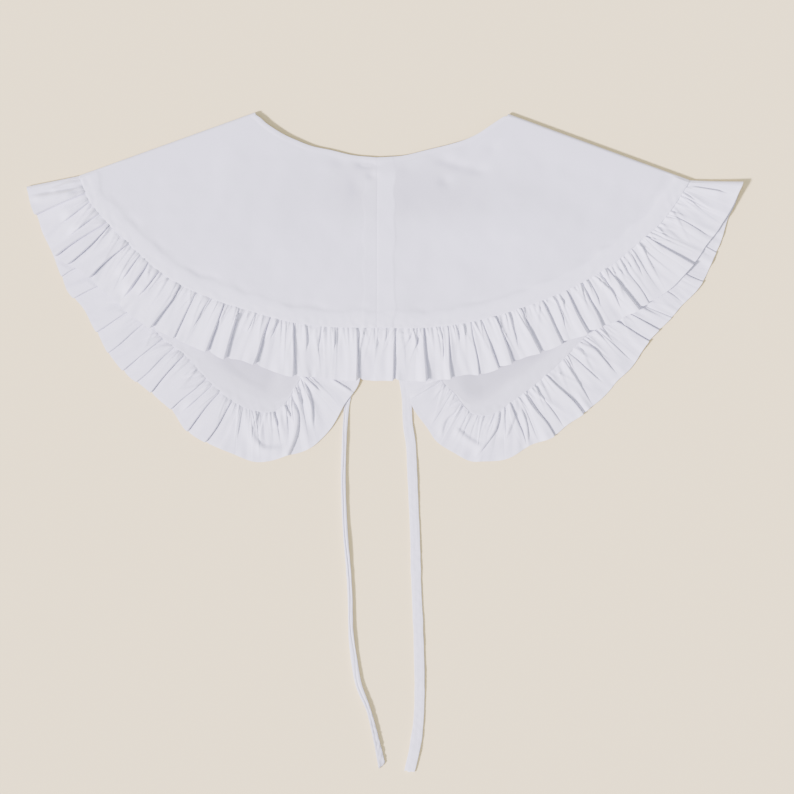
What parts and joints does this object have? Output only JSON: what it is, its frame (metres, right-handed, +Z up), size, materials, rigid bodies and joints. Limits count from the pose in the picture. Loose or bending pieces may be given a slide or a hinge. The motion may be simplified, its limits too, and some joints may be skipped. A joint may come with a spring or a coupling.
{
  "type": "detachable collar",
  "caption": "White cotton detachable collar with a gathered ruffle and two tie ends, lying flat, folded at the shoulders.",
  "frame": {"origin": "under the middle of the cloth's box, without the ties, on the surface that the collar lies on", "axes": "+X towards the picture's right, along the width; +Y towards the neck; +Z up from the surface"},
  "size_m": [0.5002, 0.4613, 0.0068],
  "materials": {
    "cotton": "matte woven cotton"
  },
  "bodies": {
    "root": {"body_left": "cotton", "body_right": "cotton", "ruffle": "cotton", "tie_left": "cotton", "tie_right": "cotton"}
  },
  "joints": []
}
